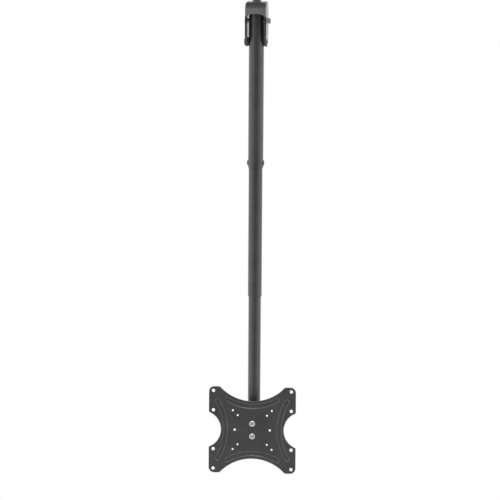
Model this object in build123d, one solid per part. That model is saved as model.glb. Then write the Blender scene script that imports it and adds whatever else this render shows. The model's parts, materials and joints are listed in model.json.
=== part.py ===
"""TV ceiling mount: a swivelling yoke, a three-section telescopic pole and a tilting screen plate.

Millimetres. The origin is the middle of the ceiling face, on the swivel axis. +Z is up, -Y is the side
that the screen faces and +X is to the right of someone who looks at the screen.
"""
import os
from math import asin, atan, degrees, radians, sqrt, tan

from build123d import *

# Fits
running_fit = 0.05
thread_fit = 0.05
bolt_clearance = 0.25
slot_clearance = 0.4
slide_clearance = 0.25
clamp_tip_gap = 0.3

# Ceiling plate: a flat flange with a drawn dish that hides the swivel bolt's head
ceiling_length = 150.0
ceiling_width = 116.0
ceiling_sheet = 3.0
ceiling_corner = 14.0
ceiling_hole_spacing_x = 122.0
ceiling_hole_spacing_y = 88.0
ceiling_hole_diameter = 7.0
dish_depth = 12.0
dish_floor_diameter = 54.0
dish_slope_run = 9.0
dish_fillet = 2.0

# Swivel between the ceiling plate and the yoke
swivel_bolt_diameter = 10.0
swivel_head_flats = 17.0
swivel_head_height = 6.4
swivel_collar_foot_diameter = 26.0
swivel_collar_top_diameter = 18.0
swivel_collar_height = 8.0
swivel_washer_diameter = 24.0
swivel_washer_height = 2.0
swivel_nut_height = 10.0
swivel_bolt_end = 2.5

# Yoke: one drawn sheet with a web, a roof that slopes at 45 degrees, a front apron and two ears
yoke_sheet = 5.0
yoke_width = 54.8
yoke_front_reach = 32.0
yoke_back_reach = 31.0
yoke_web_back = 16.0
yoke_roof_run = 11.5
yoke_fold_round = 5.4
yoke_side_bend = 5.3
yoke_apron_height = 33.4
yoke_apron_lean = 3.0
yoke_apron_arch_rise = 6.0
ear_front_reach = 26.5
ear_front_relief = 2.0
ear_shoulder_above_pivot = 15.0
ear_tip_radius = 13.0

# Pole hinge in the yoke
hinge_pin_diameter = 8.0
web_to_lock_bolt = 49.0
lock_bolt_to_pivot = 53.0
pole_tilt_forward = 15.0
pole_tilt_back = 3.0
rivet_head_diameter = 20.0
rivet_head_height = 3.6
rivet_tail_diameter = 12.5
rivet_tail_height = 1.6
lock_head_diameter = 16.0
lock_head_height = 2.6
crown_share = 0.8
sleeve_diameter = 12.0
saddle_diameter = 22.0
saddle_seat = 0.8

# Telescopic pole, drawn at its full length
tube_wall = 1.5
tube_rim_chamfer = 0.2
upper_tube_diameter = 39.0
upper_tube_length = 400.0
upper_tube_above_lock = 23.0
middle_tube_length = 400.0
middle_overlap = 69.5
lower_tube_length = 420.0
lower_overlap = 65.5

# Clamp screws in bosses on the tubes
clamp_above_rim = 12.8
clamp_boss_diameter = 14.0
clamp_boss_height = 2.2
clamp_boss_round = 1.8
clamp_screw_diameter = 8.0
clamp_screw_tip_diameter = 5.5
clamp_screw_tip_length = 1.0
clamp_screw_sunk = 0.4
clamp_socket_flats = 4.0
clamp_socket_depth = 2.0

# M8 washers and nuts
washer_diameter = 18.0
washer_height = 1.6
nut_flats = 13.0
nut_height = 6.5
bolt_end = 0.6
edge_break = 0.9

# Tilting head
tilt_pivot_above_tube_end = 15.0
tilt_saddle_thickness = 3.0
tilt_head_flats = 13.0
tilt_head_height = 5.3
bracket_sheet = 3.0
bracket_height = 60.0
bracket_bend = 5.0
bracket_tip_radius = 14.0

# Screen plate
plate_front_reach = 40.0
plate_sheet = 2.5
plate_width = 223.0
plate_height = 222.0
plate_corner = 14.0
plate_edge_break = 0.7
top_cusp_round = 8.0
side_cusp_round = 4.0
top_land = 27.9
top_notch_depth = 37.0
side_land = 66.5
side_notch_depth = 31.0
screen_pitch_wide = 200.0
screen_pitch_half = 100.0
screen_pitch_small = 75.0
wide_hole_diameter = 8.5
small_hole_diameter = 5.0
spare_hole_spacing = 90.0
spare_hole_diameter = 6.0
plate_screw_spacing = 32.6
plate_screw_diameter = 8.0
plate_screw_head_diameter = 16.0
plate_screw_head_height = 5.0
recess_span = 8.4
recess_width = 1.9
recess_depth = 2.6

# Pressed beads: grooves on the front of the plate and ribs on its back
bead_width = 10.8
bead_depth = 1.6
bead_slope_run = 2.4
top_bead_offset = 13.3
top_bead_half_span = 64.0
side_bead_radius = 146.0
side_bead_offset = 11.5
side_bead_half_span = 74.0

# Heights that follow from the sizes above
web_top = -dish_depth - swivel_collar_height
apron_foot = web_top - yoke_apron_height
lock_height = web_top - web_to_lock_bolt
pivot_height = lock_height - lock_bolt_to_pivot
upper_tube_top = lock_height + upper_tube_above_lock
upper_rim = upper_tube_top - upper_tube_length
middle_tube_top = upper_rim + middle_overlap
middle_rim = middle_tube_top - middle_tube_length
lower_tube_top = middle_rim + lower_overlap
lower_tube_end = lower_tube_top - lower_tube_length
tilt_height = lower_tube_end + tilt_pivot_above_tube_end
upper_clamp_height = upper_rim + clamp_above_rim
lower_clamp_height = middle_rim + clamp_above_rim

# Radii and faces that follow from the sizes above
upper_radius = upper_tube_diameter / 2
middle_radius = upper_radius - tube_wall - slide_clearance
lower_radius = middle_radius - tube_wall - slide_clearance
pin_radius = hinge_pin_diameter / 2
ear_outer = yoke_width / 2
ear_inner = ear_outer - yoke_sheet
bracket_inner = lower_radius + tilt_saddle_thickness
bracket_outer = bracket_inner + bracket_sheet
plate_front = -plate_front_reach
plate_back = plate_front + plate_sheet
bracket_back = plate_back + bracket_sheet
top_half_chord = plate_width / 2 - top_land
side_half_chord = plate_height / 2 - side_land
top_notch_radius = (top_half_chord**2 + top_notch_depth**2) / (2 * top_notch_depth)
side_notch_radius = (side_half_chord**2 + side_notch_depth**2) / (2 * side_notch_depth)

right = Vector(1, 0, 0)
left = Vector(-1, 0, 0)
back = Vector(0, 1, 0)
up = Vector(0, 0, 1)
down = Vector(0, 0, -1)


def rod(start, direction, length, radius):
    """Round bar from a start point along a direction."""
    return extrude(Plane(origin=start, z_dir=direction) * Circle(radius), amount=length)


def through_x(radius, height, half_length):
    """Round cutter along X, through the pole's axis."""
    return rod((-half_length, 0, height), right, 2 * half_length, radius)


def hexagon(start, direction, flats, length):
    """Hexagonal bar with its corners turned off at the far end, as on a bolt head or a nut."""
    plane = Plane(origin=start, z_dir=direction)
    bar = extrude(plane * RegularPolygon(flats / 2, 6, major_radius=False), amount=length)
    corner_radius = flats / sqrt(3)
    turned = extrude(plane * Circle(corner_radius), amount=length)
    far_rim = turned.edges().sort_by(Axis(plane.origin, plane.z_dir))[-1]
    turned = chamfer(far_rim, edge_break * flats / nut_flats)
    return bar & turned


def domed_head(start, direction, diameter, height):
    """Round head with a rounded crown."""
    head = rod(start, direction, height, diameter / 2)
    crown = head.edges().sort_by(Axis(start, direction))[-1]
    return fillet(crown, crown_share * height)


def nut(start, direction, flats, height, bore_radius):
    """Hexagonal nut that stands on its start point."""
    return hexagon(start, direction, flats, height) - rod(start, direction, height, bore_radius)


def washer(start, direction, diameter, height, bore_radius):
    """Flat washer that stands on its start point."""
    return rod(start, direction, height, diameter / 2) - rod(start, direction, height, bore_radius)


def tube(radius, foot, top):
    """Pole section with a broken outer edge at its lower rim."""
    length = top - foot
    body = rod((0, 0, foot), up, length, radius)
    body = chamfer(body.edges().sort_by(Axis.Z)[0], tube_rim_chamfer)
    return body - rod((0, 0, foot), up, length, radius - tube_wall)


def saddle(tube_radius, seat, diameter, direction, flat_face, height, bore_radius):
    """Spacer or boss with a hollowed end that reaches over a tube by its seat, and a flat end."""
    start = Vector(0, 0, height) + direction * (tube_radius - seat)
    length = flat_face - tube_radius + seat
    blank = rod(start, direction, length, diameter / 2)
    core = rod((0, 0, height - diameter), up, 2 * diameter, tube_radius)
    return blank - core - rod(start, direction, length, bore_radius)


def ceiling_plate():
    """Flange against the ceiling, with a drawn dish below it and four screw holes."""
    flange = extrude(RectangleRounded(ceiling_length, ceiling_width, ceiling_corner), amount=-ceiling_sheet)
    floor_radius = dish_floor_diameter / 2
    outside = Pos(0, 0, -dish_depth / 2) * Cone(floor_radius, floor_radius + dish_slope_run, dish_depth)
    inner_depth = dish_depth - ceiling_sheet
    inner_floor = floor_radius - ceiling_sheet
    hollow = Pos(0, 0, -inner_depth / 2) * Cone(inner_floor, inner_floor + dish_slope_run, inner_depth)
    outside = fillet(outside.edges().sort_by(Axis.Z)[0], dish_fillet)
    plate = flange + outside - hollow
    plate -= rod((0, 0, -dish_depth), up, dish_depth, swivel_bolt_diameter / 2 + bolt_clearance)
    for spot in GridLocations(ceiling_hole_spacing_x, ceiling_hole_spacing_y, 2, 2):
        plate -= rod(spot.position, down, ceiling_sheet, ceiling_hole_diameter / 2)
    return plate


def swivel_bolt():
    """Hexagon bolt that hangs the yoke from the dish's floor."""
    head_seat = -dish_depth + ceiling_sheet
    tip = web_top - yoke_sheet - swivel_washer_height - swivel_nut_height - swivel_bolt_end
    shank = rod((0, 0, tip), up, head_seat - tip, swivel_bolt_diameter / 2)
    return hexagon((0, 0, head_seat), up, swivel_head_flats, swivel_head_height) + shank


def swivel_spacer():
    """Flared collar between the dish and the yoke's web."""
    foot_radius = swivel_collar_foot_diameter / 2
    top_radius = swivel_collar_top_diameter / 2
    collar = Cone(foot_radius, top_radius, swivel_collar_height)
    collar = Pos(0, 0, web_top + swivel_collar_height / 2) * collar
    bore = swivel_bolt_diameter / 2 + bolt_clearance
    return collar - rod((0, 0, web_top), up, swivel_collar_height, bore)


def swivel_washer():
    """Wide washer under the yoke's web."""
    seat = web_top - yoke_sheet
    bore = swivel_bolt_diameter / 2 + thread_fit
    return washer((0, 0, seat), down, swivel_washer_diameter, swivel_washer_height, bore)


def swivel_nut():
    """Lock nut at the foot of the swivel bolt."""
    seat = web_top - yoke_sheet - swivel_washer_height
    bore = swivel_bolt_diameter / 2 + thread_fit
    return nut((0, 0, seat), down, swivel_head_flats, swivel_nut_height, bore)


def yoke_blank(half_width, outline, folds, fold_round, side_bend):
    """Block with the yoke's side outline, rounded along the folds and along its side edges."""
    profile = fillet([outline.vertices().sort_by_distance(fold)[0] for fold in folds], fold_round)
    block = extrude(Plane.YZ * profile, amount=half_width, both=True)
    seam = block.edges().filter_by(Axis.Y).group_by(Axis.Z)[-1]
    return fillet(seam, side_bend)


def roof_folds(front, top, run):
    """Lower and upper end of the sloping roof in the yoke's side outline."""
    return (front, top - run), (front + run, top)


def yoke():
    """Drawn hood: the web takes the swivel bolt and the two ears carry the pole."""
    front = -yoke_front_reach
    folds = roof_folds(front, web_top, yoke_roof_run)
    ear_shoulder = pivot_height + ear_shoulder_above_pivot
    corners = Polyline(
        (-ear_front_reach, ear_shoulder),
        (front, apron_foot),
        *folds,
        (yoke_web_back, web_top),
        (yoke_back_reach, apron_foot),
        (yoke_back_reach, ear_shoulder),
    )
    tip = Pos(0, pivot_height) * Circle(ear_tip_radius)
    outline = make_hull(corners.edges() + tip.edges())
    hood = yoke_blank(ear_outer, outline, folds, yoke_fold_round, yoke_side_bend)

    inner_front = front + yoke_sheet
    inner_top = web_top - yoke_sheet
    inner_run = yoke_roof_run - (2 - sqrt(2)) * yoke_sheet
    inner_folds = roof_folds(inner_front, inner_top, inner_run)
    open_foot = pivot_height - 2 * ear_tip_radius
    open_back = 2 * yoke_back_reach
    cavity_outline = make_face(
        Polyline(
            (inner_front, open_foot),
            *inner_folds,
            (open_back, inner_top),
            (open_back, open_foot),
            close=True,
        )
    )
    inner_fold_round = yoke_fold_round - yoke_sheet
    inner_side_bend = yoke_side_bend - yoke_sheet
    hood -= yoke_blank(ear_inner, cavity_outline, inner_folds, inner_fold_round, inner_side_bend)

    apron_top = web_top - yoke_roof_run - yoke_fold_round * tan(radians(45 / 2))
    opening_height = apron_top - open_foot
    opening = Box(2 * ear_inner, yoke_front_reach, opening_height)
    hood -= Pos(0, front, apron_top - opening_height / 2) * opening
    apron = make_face(
        Polyline(
            (front, apron_top),
            (inner_front, apron_top),
            (inner_front + yoke_apron_lean, apron_foot),
            (front + yoke_apron_lean, apron_foot),
            close=True,
        )
    )
    hood += extrude(Plane.YZ * apron, amount=ear_inner, both=True)
    arch_radius = (ear_inner**2 + yoke_apron_arch_rise**2) / (2 * yoke_apron_arch_rise)
    arch_centre = apron_foot + yoke_apron_arch_rise - arch_radius
    arch = Pos(0, arch_centre) * Circle(arch_radius)
    arch &= Pos(0, apron_foot) * Rectangle(2 * ear_inner, 2 * yoke_apron_arch_rise)
    hood -= extrude(Plane.XZ * arch, amount=yoke_front_reach)

    relief = make_face(
        Polyline(
            (2 * front, apron_foot),
            (-ear_front_reach, apron_foot),
            (-ear_front_reach, open_foot),
            (2 * front, open_foot),
            close=True,
        )
    )
    step = relief.vertices().sort_by_distance((-ear_front_reach, apron_foot))[0]
    hood -= extrude(Plane.YZ * fillet(step, ear_front_relief), amount=ear_outer, both=True)

    hood -= rod((0, 0, inner_top), up, yoke_sheet, swivel_bolt_diameter / 2 + running_fit)
    hood -= through_x(pin_radius + thread_fit, pivot_height, ear_outer)
    sweep_angle = pole_tilt_forward + pole_tilt_back
    slot_path = CenterArc((0, pivot_height), lock_bolt_to_pivot, 90 - pole_tilt_forward, sweep_angle)
    slot = SlotArc(slot_path, hinge_pin_diameter + 2 * slot_clearance)
    return hood - extrude(Plane.YZ * slot, amount=ear_outer, both=True)


def pivot_rivet():
    """Headed pin through both ears, closed over on the right."""
    pin = through_x(pin_radius, pivot_height, ear_outer)
    left_seat = Vector(-ear_outer, 0, pivot_height)
    right_seat = Vector(ear_outer, 0, pivot_height)
    head = domed_head(left_seat, left, rivet_head_diameter, rivet_head_height)
    tail = domed_head(right_seat, right, rivet_tail_diameter, rivet_tail_height)
    return pin + head + tail


def lock_bolt():
    """Round-headed bolt that clamps the pole in the ears' arc slots."""
    end = ear_outer + washer_height + nut_height + bolt_end
    shank = rod((-ear_outer, 0, lock_height), right, ear_outer + end, pin_radius)
    seat = Vector(-ear_outer, 0, lock_height)
    return shank + domed_head(seat, left, lock_head_diameter, lock_head_height)


def lock_washer():
    """Washer between the right ear and the lock nut."""
    seat = Vector(ear_outer, 0, lock_height)
    return washer(seat, right, washer_diameter, washer_height, pin_radius + thread_fit)


def lock_nut():
    """Nut on the right end of the lock bolt."""
    seat = Vector(ear_outer + washer_height, 0, lock_height)
    return nut(seat, right, nut_flats, nut_height, pin_radius + thread_fit)


def lock_sleeves():
    """Slim sleeves on the lock bolt, between the pole and the ears."""
    bore = pin_radius + running_fit
    return [
        saddle(upper_radius, saddle_seat, sleeve_diameter, side, ear_inner, lock_height, bore)
        for side in (left, right)
    ]


def saddle_spacers():
    """Wide spacers on the pivot, between the pole and the ears."""
    bore = pin_radius + running_fit
    return [
        saddle(upper_radius, saddle_seat, saddle_diameter, side, ear_inner, pivot_height, bore)
        for side in (left, right)
    ]


def upper_tube():
    """Outer section, drilled for the two cross bolts and the clamp screws."""
    body = tube(upper_radius, upper_rim, upper_tube_top)
    body -= through_x(pin_radius + running_fit, lock_height, upper_radius)
    body -= through_x(pin_radius + running_fit, pivot_height, upper_radius)
    return body - through_x(clamp_screw_diameter / 2 + thread_fit, upper_clamp_height, upper_radius)


def middle_tube():
    """Middle section, drilled at the back for its clamp screw."""
    body = tube(middle_radius, middle_rim, middle_tube_top)
    return body - rod((0, 0, lower_clamp_height), back, middle_radius, clamp_screw_diameter / 2 + thread_fit)


def lower_tube():
    """Inner section, drilled for the tilt bolt."""
    body = tube(lower_radius, lower_tube_end, lower_tube_top)
    return body - through_x(pin_radius + running_fit, tilt_height, lower_radius)


def clamp_boss(tube_radius, direction, height):
    """Welded boss that carries the thread of a clamp screw."""
    flat_face = tube_radius + clamp_boss_height
    bore = clamp_screw_diameter / 2 + thread_fit
    boss = saddle(tube_radius, tube_radius, clamp_boss_diameter, direction, flat_face, height, bore)
    rim = boss.edges().filter_by(GeomType.CIRCLE).sort_by(SortBy.RADIUS)[-1]
    return fillet(rim, clamp_boss_round)


def clamp_screw(tube_radius, inner_radius, direction, height):
    """Socket set screw whose tip bears on the tube inside."""
    tip = Vector(0, 0, height) + direction * (inner_radius + clamp_tip_gap)
    shoulder = tip + direction * clamp_screw_tip_length
    length = tube_radius + clamp_boss_height - clamp_screw_sunk - inner_radius - clamp_tip_gap
    end = tip + direction * length
    body = rod(shoulder, direction, length - clamp_screw_tip_length, clamp_screw_diameter / 2)
    body += rod(tip, direction, clamp_screw_tip_length, clamp_screw_tip_diameter / 2)
    socket = RegularPolygon(clamp_socket_flats / 2, 6, major_radius=False)
    return body - extrude(Plane(origin=end, z_dir=-direction) * socket, amount=clamp_socket_depth)


def upper_clamp_bosses():
    """Bosses on both sides of the upper tube's foot."""
    return [clamp_boss(upper_radius, side, upper_clamp_height) for side in (left, right)]


def upper_clamp_screws():
    """Screws that hold the middle tube."""
    return [clamp_screw(upper_radius, middle_radius, side, upper_clamp_height) for side in (left, right)]


def lower_clamp_boss():
    """Boss on the back of the middle tube's foot."""
    return clamp_boss(middle_radius, back, lower_clamp_height)


def lower_clamp_screw():
    """Screw that holds the lower tube."""
    return clamp_screw(middle_radius, lower_radius, back, lower_clamp_height)


def tilt_saddles():
    """Spacers between the lower tube's end and the tilt bracket."""
    bore = pin_radius + running_fit
    return [
        saddle(lower_radius, saddle_seat, saddle_diameter, side, bracket_inner, tilt_height, bore)
        for side in (left, right)
    ]


def tilt_bracket():
    """Folded channel: its web is screwed to the screen plate and its ears hinge on the pole."""
    web = Pos((plate_back + bracket_back) / 2, tilt_height) * Rectangle(bracket_sheet, bracket_height)
    tip = Pos(0, tilt_height) * Circle(bracket_tip_radius)
    profile = make_hull(web.edges() + tip.edges())
    block = extrude(Plane.YZ * profile, amount=bracket_outer, both=True)
    block = fillet(block.edges().filter_by(Axis.Z).group_by(Axis.Y)[0], bracket_bend)
    depth = 2 * plate_front_reach
    hollow = Pos(0, bracket_back + depth / 2, tilt_height) * Box(2 * bracket_inner, depth, 2 * bracket_height)
    hollow = fillet(hollow.edges().filter_by(Axis.Z).group_by(Axis.Y)[0], bracket_bend - bracket_sheet)
    bracket = block - hollow
    bracket -= through_x(pin_radius + thread_fit, tilt_height, bracket_outer)
    for seat in plate_screw_seats(plate_back):
        bracket -= rod(seat, back, bracket_sheet, plate_screw_diameter / 2 + bolt_clearance)
    return bracket


def plate_screw_seats(depth):
    """Points where the two plate screws cross a given depth."""
    half = plate_screw_spacing / 2
    return [Vector(0, depth, tilt_height - half), Vector(0, depth, tilt_height + half)]


def plate_outline():
    """Square plate with rounded corners and a hollow in each side."""
    outline = RectangleRounded(plate_width, plate_height, plate_corner)
    top_centre = plate_height / 2 - top_notch_depth + top_notch_radius
    side_centre = plate_width / 2 - side_notch_depth + side_notch_radius
    for sign in (-1, 1):
        outline -= Pos(0, sign * top_centre) * Circle(top_notch_radius)
        outline -= Pos(sign * side_centre, 0) * Circle(side_notch_radius)
    outline = fillet(mirrored_vertices(outline, (top_half_chord, plate_height / 2)), top_cusp_round)
    return fillet(mirrored_vertices(outline, (plate_width / 2, side_half_chord)), side_cusp_round)


def mirrored_vertices(outline, point):
    """The vertices of an outline at a point and at its mirror images in both middle lines."""
    x, y = point
    images = [(x, y), (-x, y), (x, -y), (-x, -y)]
    return [outline.vertices().sort_by_distance(image)[0] for image in images]


def screen_holes():
    """Screw holes for the common screen patterns, with two spare holes and the bracket's two screws."""
    wide = Circle(wide_hole_diameter / 2)
    small = Circle(small_hole_diameter / 2)
    holes = Sketch() + GridLocations(screen_pitch_wide, screen_pitch_wide, 2, 2) * wide
    holes += GridLocations(screen_pitch_wide, screen_pitch_half, 2, 2) * wide
    holes += GridLocations(screen_pitch_half, screen_pitch_half, 2, 2) * small
    holes += GridLocations(screen_pitch_small, screen_pitch_small, 2, 2) * small
    holes += GridLocations(spare_hole_spacing, 0, 2, 1) * Circle(spare_hole_diameter / 2)
    holes += GridLocations(0, plate_screw_spacing, 1, 2) * Circle(plate_screw_diameter / 2 + bolt_clearance)
    return holes


def bead_paths():
    """Middle lines of the four beads, each bowed like the hollow beside it."""
    top_centre = plate_height / 2 - top_notch_depth + top_notch_radius
    top_radius = top_notch_radius + top_bead_offset
    side_centre = plate_width / 2 - side_notch_depth - side_bead_offset + side_bead_radius
    top_reach = degrees(asin(top_bead_half_span / top_radius))
    side_reach = degrees(asin(side_bead_half_span / side_bead_radius))
    return [
        CenterArc((0, top_centre), top_radius, 270 - top_reach, 2 * top_reach),
        CenterArc((0, -top_centre), top_radius, 90 - top_reach, 2 * top_reach),
        CenterArc((side_centre, 0), side_bead_radius, 180 - side_reach, 2 * side_reach),
        CenterArc((-side_centre, 0), side_bead_radius, -side_reach, 2 * side_reach),
    ]


def vesa_plate():
    """Pressed screen plate: outline, holes and four stiffening beads."""
    front_face = Plane(origin=(0, plate_front, tilt_height), x_dir=right, z_dir=back)
    back_face = front_face.offset(plate_sheet)
    slope = degrees(atan(bead_slope_run / bead_depth))
    groove_width = bead_width + bead_slope_run
    rib_width = groove_width + plate_sheet
    plate = extrude(front_face * plate_outline(), amount=plate_sheet)
    rims = plate.edges().group_by(Axis.Y)
    plate = chamfer(rims[0] + rims[-1], plate_edge_break)
    plate -= extrude(front_face * screen_holes(), amount=plate_sheet)
    for path in bead_paths():
        plate += extrude(back_face * SlotArc(path, rib_width), amount=bead_depth, taper=slope)
    for path in bead_paths():
        plate -= extrude(front_face * SlotArc(path, groove_width), amount=bead_depth, taper=slope)
    return plate


def plate_screw(seat):
    """Pan-head screw with a cross recess, from the front of the plate into its nut."""
    head = domed_head(seat, -back, plate_screw_head_diameter, plate_screw_head_height)
    length = plate_sheet + bracket_sheet + washer_height + nut_height + bolt_end
    screw = head + rod(seat, back, length, plate_screw_diameter / 2)
    recess_middle = Pos(seat - back * (plate_screw_head_height - recess_depth / 2))
    screw -= recess_middle * Box(recess_span, recess_depth, recess_width)
    return screw - recess_middle * Box(recess_width, recess_depth, recess_span)


def plate_screws():
    """The two screws that hold the screen plate on its bracket."""
    return [plate_screw(seat) for seat in plate_screw_seats(plate_front)]


def plate_washers():
    """Washers behind the bracket's web."""
    bore = plate_screw_diameter / 2 + thread_fit
    seats = plate_screw_seats(bracket_back)
    return [washer(seat, back, washer_diameter, washer_height, bore) for seat in seats]


def plate_nuts():
    """Nuts behind the bracket's web."""
    bore = plate_screw_diameter / 2 + thread_fit
    seats = plate_screw_seats(bracket_back + washer_height)
    return [nut(seat, back, nut_flats, nut_height, bore) for seat in seats]


def tilt_bolt():
    """Hexagon bolt that the head tips on."""
    head_seat = Vector(-bracket_outer - washer_height, 0, tilt_height)
    end = bracket_outer + washer_height + nut_height + bolt_end
    head = hexagon(head_seat, left, tilt_head_flats, tilt_head_height)
    return head + rod(head_seat, right, end - head_seat.X, pin_radius)


def tilt_washers():
    """Washers outside the bracket's ears."""
    bore = pin_radius + thread_fit
    return [
        washer(Vector(side.X * bracket_outer, 0, tilt_height), side, washer_diameter, washer_height, bore)
        for side in (left, right)
    ]


def tilt_nut():
    """Lock nut on the right end of the tilt bolt."""
    seat = Vector(bracket_outer + washer_height, 0, tilt_height)
    return nut(seat, right, nut_flats, nut_height, pin_radius + thread_fit)


pieces = [
    ceiling_plate,
    swivel_bolt,
    swivel_spacer,
    swivel_washer,
    swivel_nut,
    yoke,
    pivot_rivet,
    lock_bolt,
    lock_washer,
    lock_nut,
    lock_sleeves,
    saddle_spacers,
    upper_tube,
    upper_clamp_bosses,
    upper_clamp_screws,
    middle_tube,
    lower_clamp_boss,
    lower_clamp_screw,
    lower_tube,
    tilt_saddles,
    tilt_bracket,
    vesa_plate,
    plate_screws,
    plate_washers,
    plate_nuts,
    tilt_bolt,
    tilt_washers,
    tilt_nut,
]

os.makedirs("parts", exist_ok=True)
for piece in pieces:
    made = piece()
    shape = Compound(children=made) if isinstance(made, list) else made
    export_step(shape, f"parts/{piece.__name__}.step")
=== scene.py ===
"""Looks, light and camera of the TV ceiling mount. Metres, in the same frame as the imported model."""
import json
from math import cos, pi, radians, sin, sqrt

import bpy
from mathutils import Matrix, Vector


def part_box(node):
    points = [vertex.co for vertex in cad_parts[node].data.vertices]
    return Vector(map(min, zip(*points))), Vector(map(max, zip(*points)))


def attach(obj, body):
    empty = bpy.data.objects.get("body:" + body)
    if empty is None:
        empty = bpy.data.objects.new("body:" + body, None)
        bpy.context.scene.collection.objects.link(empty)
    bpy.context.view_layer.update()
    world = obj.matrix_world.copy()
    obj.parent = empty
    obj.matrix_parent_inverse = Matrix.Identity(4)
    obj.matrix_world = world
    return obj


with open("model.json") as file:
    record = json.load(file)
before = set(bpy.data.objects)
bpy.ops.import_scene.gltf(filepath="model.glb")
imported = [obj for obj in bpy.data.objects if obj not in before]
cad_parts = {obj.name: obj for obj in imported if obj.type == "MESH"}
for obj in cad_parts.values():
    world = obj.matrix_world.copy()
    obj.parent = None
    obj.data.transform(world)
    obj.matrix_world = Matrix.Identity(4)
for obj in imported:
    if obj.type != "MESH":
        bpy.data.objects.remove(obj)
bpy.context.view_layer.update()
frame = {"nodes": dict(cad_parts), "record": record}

# Camera: a very long lens far away, slightly to the right of the mount and slightly above it
IMAGE_SIZE = 500
SENSOR_MM = 36.0
CAMERA_AZIMUTH = 6.0
CAMERA_ELEVATION = 7.3
CAMERA_LEAN = 0.39
CAMERA_DISTANCE = 60.0
CAMERA_REACH = 200.0
PIXELS_PER_METRE = 391.5
HEAD_PIXEL = (253.85, 427.96)
HEAD_HEIGHT = -1.116

# Studio: bright at the back and at the sides, dim on the camera's side, with one lamp high in front.
# The spread and the rise are cosines and sines of directions, between which the level changes.
BRIGHT_LEVEL = 1.35
DIM_LEVEL = 0.02
DIM_AZIMUTH = 9.0
DIM_SPREAD = (0.5, 0.98)
OVERHEAD_LEVEL = 0.8
OVERHEAD_RISE = (0.3, 0.9)
LAMP_PLACE = (0.0, -1.3, 2.85)
LAMP_SIZE = 0.5
LAMP_POWER = 56.0
WHITE = (1.0, 1.0, 1.0, 1.0)

# Floor: pale, and mixed with plain white where it is seen directly
FLOOR_HEIGHT = -1.75
FLOOR_SIZE = 6.0
FLOOR_COLOUR = (0.85, 0.85, 0.85, 1.0)
FLOOR_GLOW = 0.75

# Greys between which each finish varies
GREY = (0.160, 0.200)
BLACK = (0.040, 0.056)
# Darker greys of the painted shade on the yoke's inner faces and on the ears' front edges
PAINTED_SHADE_GREYS = (0.024, 0.030)
BLACKENED = (0.020, 0.028)
NYLON = (0.010, 0.018)
ZINC_DARK = (0.62, 0.63, 0.64)
ZINC_LIGHT = (0.78, 0.79, 0.80)

# Noises: scale and detail
CLOUD_NOISE = (22.0, 3.0)
GRAIN_NOISE = (900.0, 2.0)
MOTTLE_NOISE = (420.0, 5.0)
MARK_NOISE = (2600.0, 2.0)
SPARK_NOISE = (1500.0, 3.0)

# Values of a noise between which it does its work
NOISE_RANGE = (0.3, 0.7)
SPECKLE_RANGE = (0.4, 0.6)

# Bumps: strength, and height in metres
GRAIN_BUMP = (0.4, 0.00004)
MARK_BUMP = (0.2, 0.00002)
SPARK_BUMP = (0.3, 0.00004)

# Gloss of the powder coats: mean roughness and weight of the clear skin over them
GREY_GLOSS = (0.40, 0.4)
BLACK_GLOSS = (0.30, 0.6)
BLACKENED_GLOSS = (0.38, 0.3)
ROUGHNESS_SWING = 0.05
SKIN_ROUGHNESS = 0.16

# Least and greatest roughness of the other finishes
ZINC_ROUGHNESS = (0.40, 0.52)
NYLON_ROUGHNESS = (0.50, 0.62)

# Finish of the yoke: grey outside, with painted shade in a darker grey on the faces inside and on the
# ears' cut front edges below the apron's foot
APRON_FOOT = -0.0534
INSIDE_MARGIN = 0.002
FORWARD_LIMIT = -0.5

# Weld beads around the clamp bosses
WELD_RADIUS = 0.0009
WELD_STEPS = 96
WELD_SIDES = 10
WELD_RIPPLES = 26
WELD_RIPPLE = 0.12


def grey_pair(shades):
    """Two greys as colours."""
    return [(shade, shade, shade) for shade in shades]


def cleared_tree(owner, output_type):
    """Cleared node tree of a material or a world, with a new output node."""
    owner.use_nodes = True
    tree = owner.node_tree
    tree.nodes.clear()
    return tree, tree.nodes.new(output_type)


def new_material(name):
    """Material with a principled shader at its output."""
    material = bpy.data.materials.new(name)
    tree, output = cleared_tree(material, "ShaderNodeOutputMaterial")
    shader = tree.nodes.new("ShaderNodeBsdfPrincipled")
    tree.links.new(shader.outputs["BSDF"], output.inputs["Surface"])
    return material, tree, shader


def object_noise(tree, scale, detail):
    """Noise fixed to the object."""
    place = tree.nodes.new("ShaderNodeTexCoord")
    noise = tree.nodes.new("ShaderNodeTexNoise")
    noise.inputs["Scale"].default_value = scale
    noise.inputs["Detail"].default_value = detail
    tree.links.new(place.outputs["Object"], noise.inputs["Vector"])
    return noise.outputs["Fac"]


def clamped_range(tree, value, source, target):
    """Map a value from one range to another and hold it at the ends."""
    spread = tree.nodes.new("ShaderNodeMapRange")
    spread.inputs["From Min"].default_value = source[0]
    spread.inputs["From Max"].default_value = source[1]
    spread.inputs["To Min"].default_value = target[0]
    spread.inputs["To Max"].default_value = target[1]
    tree.links.new(value, spread.inputs["Value"])
    return spread.outputs["Result"]


def combine(tree, operation, first, second):
    """Join two values with a math node. The second may be a plain number."""
    node = tree.nodes.new("ShaderNodeMath")
    node.operation = operation
    tree.links.new(first, node.inputs[0])
    if isinstance(second, float):
        node.inputs[1].default_value = second
    else:
        tree.links.new(second, node.inputs[1])
    return node.outputs["Value"]


def mix_colours(tree, value, dark, light, limits=NOISE_RANGE):
    """Blend two colours by a value."""
    ramp = tree.nodes.new("ShaderNodeValToRGB")
    for element, position, colour in zip(ramp.color_ramp.elements, limits, (dark, light)):
        element.position = position
        element.color = (*colour, 1.0)
    tree.links.new(value, ramp.inputs["Fac"])
    return ramp.outputs["Color"]


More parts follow.
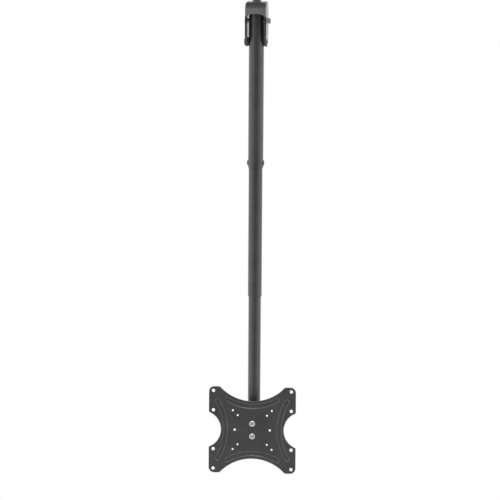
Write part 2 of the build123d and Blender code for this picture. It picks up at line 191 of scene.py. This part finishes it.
def mix_shaders(tree, share, first, second, output):
    """Blend two shaders by a share and link them to the output."""
    mix = tree.nodes.new("ShaderNodeMixShader")
    tree.links.new(share, mix.inputs["Fac"])
    tree.links.new(first, mix.inputs[1])
    tree.links.new(second, mix.inputs[2])
    tree.links.new(mix.outputs["Shader"], output.inputs["Surface"])


def bump(tree, value, strength, height):
    """Bump from a noise, with its height in metres."""
    node = tree.nodes.new("ShaderNodeBump")
    node.inputs["Strength"].default_value = strength
    node.inputs["Distance"].default_value = height
    tree.links.new(value, node.inputs["Height"])
    return node.outputs["Normal"]


def parts_of(tree, vector):
    """X, Y and Z of a vector."""
    split = tree.nodes.new("ShaderNodeSeparateXYZ")
    tree.links.new(vector, split.inputs["Vector"])
    return split.outputs


def painted_shade_faces(tree):
    """Mask of the painted shade: one on the faces of the yoke that look at its own axis, and on the
    ears' front edges below the apron's foot.
    """
    place = tree.nodes.new("ShaderNodeTexCoord")
    outward = tree.nodes.new("ShaderNodeVectorMath")
    outward.operation = "MULTIPLY"
    tree.links.new(place.outputs["Object"], outward.inputs[0])
    tree.links.new(place.outputs["Normal"], outward.inputs[1])
    away = parts_of(tree, outward.outputs["Vector"])
    inside = combine(tree, "LESS_THAN", combine(tree, "ADD", away["X"], away["Y"]), -INSIDE_MARGIN)
    below = combine(tree, "LESS_THAN", parts_of(tree, place.outputs["Object"])["Z"], APRON_FOOT)
    forward = combine(tree, "LESS_THAN", parts_of(tree, place.outputs["Normal"])["Y"], FORWARD_LIMIT)
    return combine(tree, "MAXIMUM", inside, combine(tree, "MULTIPLY", below, forward))


def powder_coat(name, shades, gloss, painted_shade=None):
    """Satin powder coat: fine grain, faint cloudiness and slightly uneven gloss under a clear skin, and
    painted shade in darker greys where those are given.
    """
    material, tree, shader = new_material(name)
    roughness, skin_weight = gloss
    shader.inputs["Coat Weight"].default_value = skin_weight
    shader.inputs["Coat Roughness"].default_value = SKIN_ROUGHNESS
    grain = object_noise(tree, *GRAIN_NOISE)
    speckle = combine(tree, "ADD", object_noise(tree, *CLOUD_NOISE), grain)
    speckle = combine(tree, "MULTIPLY", speckle, 1 / 2)
    colour = mix_colours(tree, speckle, *grey_pair(shades), SPECKLE_RANGE)
    # Painted shade: darker greys where the mask marks the yoke's inner faces and the ears' front edges
    # below the apron
    if painted_shade:
        mix = tree.nodes.new("ShaderNodeMix")
        mix.data_type = "RGBA"
        tree.links.new(painted_shade_faces(tree), mix.inputs["Factor"])
        tree.links.new(colour, mix.inputs["A"])
        tree.links.new(mix_colours(tree, speckle, *grey_pair(painted_shade)), mix.inputs["B"])
        colour = mix.outputs["Result"]
    tree.links.new(colour, shader.inputs["Base Color"])
    limits = (roughness - ROUGHNESS_SWING, roughness + ROUGHNESS_SWING)
    tree.links.new(clamped_range(tree, grain, NOISE_RANGE, limits), shader.inputs["Roughness"])
    normal = bump(tree, grain, *GRAIN_BUMP)
    tree.links.new(normal, shader.inputs["Normal"])
    tree.links.new(normal, shader.inputs["Coat Normal"])
    return material


def zinc_plate(name):
    """Bright zinc plate: metal with a faint crystalline mottle and fine turning marks."""
    material, tree, shader = new_material(name)
    shader.inputs["Metallic"].default_value = 1.0
    mottle = object_noise(tree, *MOTTLE_NOISE)
    marks = object_noise(tree, *MARK_NOISE)
    tree.links.new(mix_colours(tree, mottle, ZINC_DARK, ZINC_LIGHT), shader.inputs["Base Color"])
    tree.links.new(clamped_range(tree, mottle, NOISE_RANGE, ZINC_ROUGHNESS), shader.inputs["Roughness"])
    tree.links.new(bump(tree, marks, *MARK_BUMP), shader.inputs["Normal"])
    return material


def moulded_nylon(name):
    """Black moulded nylon with a fine spark texture."""
    material, tree, shader = new_material(name)
    spark = object_noise(tree, *SPARK_NOISE)
    tree.links.new(mix_colours(tree, spark, *grey_pair(NYLON)), shader.inputs["Base Color"])
    tree.links.new(clamped_range(tree, spark, NOISE_RANGE, NYLON_ROUGHNESS), shader.inputs["Roughness"])
    tree.links.new(bump(tree, spark, *SPARK_BUMP), shader.inputs["Normal"])
    return material


MATERIALS = {
    "grey_paint": powder_coat("grey_paint", GREY, GREY_GLOSS),
    "black_paint": powder_coat("black_paint", BLACK, BLACK_GLOSS),
    "black_steel": powder_coat("black_steel", BLACKENED, BLACKENED_GLOSS),
    "zinc": zinc_plate("zinc"),
    "nylon": moulded_nylon("nylon"),
}
# The yoke's coat: grey, with painted shade on its inner faces and on the ears' front edges
YOKE_MATERIAL = powder_coat("grey_paint_painted_shade", GREY, GREY_GLOSS, painted_shade=PAINTED_SHADE_GREYS)


def dress_nodes():
    """Give every CAD node the finish of its record slot, and the yoke its grey one with painted shade
    inside and on the ears' front edges.
    """
    slot_of = {part["node"]: part["material_slot"] for part in frame["record"]["subparts"]}
    for name, node in frame["nodes"].items():
        node.data.materials.clear()
        node.data.materials.append(YOKE_MATERIAL if name == "yoke" else MATERIALS[slot_of[name]])


def boss_weld(name, body, boss_node, tube_node, turn):
    """Rippled weld bead around the foot of a round boss, which stands on a tube at a turn about Z."""
    boss_low, boss_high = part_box(boss_node)
    tube_low, tube_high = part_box(tube_node)
    ring_radius = (boss_high.z - boss_low.z) / 2
    height = (boss_high.z + boss_low.z) / 2
    tube_radius = (tube_high.x - tube_low.x) / 2
    place = Matrix.Rotation(radians(turn), 3, "Z")
    vertices = []
    for step in range(WELD_STEPS):
        angle = 2 * pi * step / WELD_STEPS
        aside = ring_radius * sin(angle)
        out = Vector((sqrt(tube_radius**2 - aside**2), aside, 0.0)).normalized()
        centre = out * tube_radius + Vector((0.0, 0.0, height + ring_radius * cos(angle)))
        ring_out = Vector((0.0, sin(angle), cos(angle)))
        bead = WELD_RADIUS * (1.0 + WELD_RIPPLE * sin(WELD_RIPPLES * angle))
        for side in range(WELD_SIDES):
            around = 2 * pi * side / WELD_SIDES
            vertices.append(place @ (centre + (out * cos(around) + ring_out * sin(around)) * bead))
    faces = []
    for step in range(WELD_STEPS):
        following = (step + 1) % WELD_STEPS
        for side in range(WELD_SIDES):
            beside = (side + 1) % WELD_SIDES
            faces.append((step * WELD_SIDES + side, step * WELD_SIDES + beside,
                          following * WELD_SIDES + beside, following * WELD_SIDES + side))
    mesh = bpy.data.meshes.new(name)
    mesh.from_pydata(vertices, [], faces)
    mesh.shade_smooth()
    mesh.materials.append(MATERIALS["black_paint"])
    weld = bpy.data.objects.new(name, mesh)
    bpy.context.scene.collection.objects.link(weld)
    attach(weld, body)


def add_welds():
    """Weld beads of the three clamp bosses."""
    boss_weld("right_boss_weld", "pole_upper", "upper_clamp_bosses", "upper_tube", 0.0)
    boss_weld("left_boss_weld", "pole_upper", "upper_clamp_bosses", "upper_tube", 180.0)
    boss_weld("back_boss_weld", "pole_middle", "lower_clamp_boss", "middle_tube", 90.0)


def add_camera():
    """Long-lens camera whose frame matches the photograph's."""
    azimuth = radians(CAMERA_AZIMUTH)
    elevation = radians(CAMERA_ELEVATION)
    lean = radians(CAMERA_LEAN)
    towards = Vector((sin(azimuth) * cos(elevation), -cos(azimuth) * cos(elevation), sin(elevation)))
    level = Vector((cos(azimuth), sin(azimuth), 0.0))
    upright = towards.cross(level)
    across = level * cos(lean) + upright * sin(lean)
    upward = upright * cos(lean) - level * sin(lean)
    middle = IMAGE_SIZE / 2
    target = Vector((0.0, 0.0, HEAD_HEIGHT))
    target += across * (middle - HEAD_PIXEL[0]) / PIXELS_PER_METRE
    target += upward * (HEAD_PIXEL[1] - middle) / PIXELS_PER_METRE
    data = bpy.data.cameras.new("camera")
    data.sensor_width = SENSOR_MM
    data.lens = PIXELS_PER_METRE * CAMERA_DISTANCE / IMAGE_SIZE * SENSOR_MM
    data.clip_end = CAMERA_REACH
    camera = bpy.data.objects.new("camera", data)
    rotation = Matrix((across, upward, towards)).transposed().to_4x4()
    camera.matrix_world = Matrix.Translation(target + towards * CAMERA_DISTANCE) @ rotation
    bpy.context.scene.collection.objects.link(camera)
    bpy.context.scene.camera = camera


def add_lamp():
    """Soft lamp high in front, aimed at the middle of the pole."""
    data = bpy.data.lights.new("lamp", "AREA")
    data.size = LAMP_SIZE
    data.energy = LAMP_POWER
    lamp = bpy.data.objects.new("lamp", data)
    lamp.location = LAMP_PLACE
    aim = Vector((0.0, 0.0, HEAD_HEIGHT / 2)) - lamp.location
    lamp.rotation_euler = aim.to_track_quat("-Z", "Y").to_euler()
    bpy.context.scene.collection.objects.link(lamp)


def shown_directly(tree, path):
    """One for rays that show the surroundings: from the camera, off a gloss or through glass."""
    shown = combine(tree, "MAXIMUM", path.outputs["Is Camera Ray"], path.outputs["Is Glossy Ray"])
    return combine(tree, "MAXIMUM", shown, path.outputs["Is Transmission Ray"])


def background(tree, strength):
    """White background of a strength."""
    node = tree.nodes.new("ShaderNodeBackground")
    node.inputs["Color"].default_value = WHITE
    tree.links.new(strength, node.inputs["Strength"])
    return node.outputs["Background"]


def add_surroundings():
    """White surroundings that dim towards the camera, which itself sees them plain white."""
    world = bpy.data.worlds.new("studio")
    bpy.context.scene.world = world
    tree, output = cleared_tree(world, "ShaderNodeOutputWorld")
    direction = tree.nodes.new("ShaderNodeTexCoord").outputs["Generated"]
    facing = tree.nodes.new("ShaderNodeVectorMath")
    facing.operation = "DOT_PRODUCT"
    facing.inputs[1].default_value = (sin(radians(DIM_AZIMUTH)), -cos(radians(DIM_AZIMUTH)), 0.0)
    tree.links.new(direction, facing.inputs[0])
    around = clamped_range(tree, facing.outputs["Value"], DIM_SPREAD, (1.0, DIM_LEVEL))
    levels = (BRIGHT_LEVEL, BRIGHT_LEVEL * OVERHEAD_LEVEL)
    overhead = clamped_range(tree, parts_of(tree, direction)["Z"], OVERHEAD_RISE, levels)
    path = tree.nodes.new("ShaderNodeLightPath")
    light = background(tree, combine(tree, "MULTIPLY", around, overhead))
    seen = background(tree, combine(tree, "MAXIMUM", around, path.outputs["Is Camera Ray"]))
    mix_shaders(tree, shown_directly(tree, path), light, seen, output)


def add_floor():
    """Pale floor far below the mount, which keeps its shadow."""
    half = FLOOR_SIZE / 2
    corners = [(-half, -half, FLOOR_HEIGHT), (half, -half, FLOOR_HEIGHT),
               (half, half, FLOOR_HEIGHT), (-half, half, FLOOR_HEIGHT)]
    mesh = bpy.data.meshes.new("floor")
    mesh.from_pydata(corners, [], [(0, 1, 2, 3)])
    floor = bpy.data.objects.new("floor", mesh)
    bpy.context.scene.collection.objects.link(floor)
    material = bpy.data.materials.new("floor")
    tree, output = cleared_tree(material, "ShaderNodeOutputMaterial")
    matte = tree.nodes.new("ShaderNodeBsdfDiffuse")
    matte.inputs["Color"].default_value = FLOOR_COLOUR
    glow = tree.nodes.new("ShaderNodeEmission")
    glow.inputs["Color"].default_value = WHITE
    shown = shown_directly(tree, tree.nodes.new("ShaderNodeLightPath"))
    share = combine(tree, "MULTIPLY", shown, FLOOR_GLOW)
    mix_shaders(tree, share, matte.outputs["BSDF"], glow.outputs["Emission"], output)
    mesh.materials.append(material)


dress_nodes()
add_welds()
add_camera()
add_lamp()
add_surroundings()
add_floor()
bpy.context.scene.view_settings.view_transform = "Standard"
